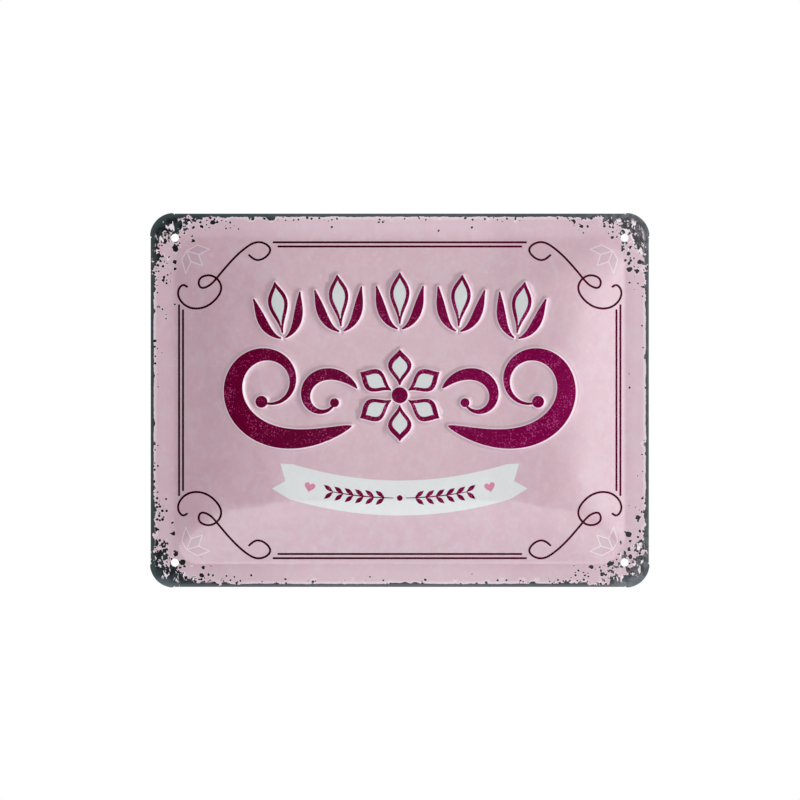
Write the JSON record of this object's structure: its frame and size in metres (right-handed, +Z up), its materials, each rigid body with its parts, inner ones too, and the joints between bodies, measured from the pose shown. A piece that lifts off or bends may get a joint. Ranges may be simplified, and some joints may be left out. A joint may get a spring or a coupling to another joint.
{
  "type": "tin sign",
  "caption": "Landscape tin wall sign: one thin steel sheet with a raised field, pressed scroll and flower relief, hemmed sides and pierced corner tabs.",
  "frame": {"origin": "centre of the four nail holes, in the plane of the rim's back face", "axes": "+X to the right as the sign is read, +Z up, and the printed front looks along -Y"},
  "size_m": [0.2, 0.005, 0.15],
  "materials": {
    "printed_tinplate": "gloss"
  },
  "bodies": {
    "root": {"sign_sheet": "printed_tinplate"}
  },
  "joints": []
}
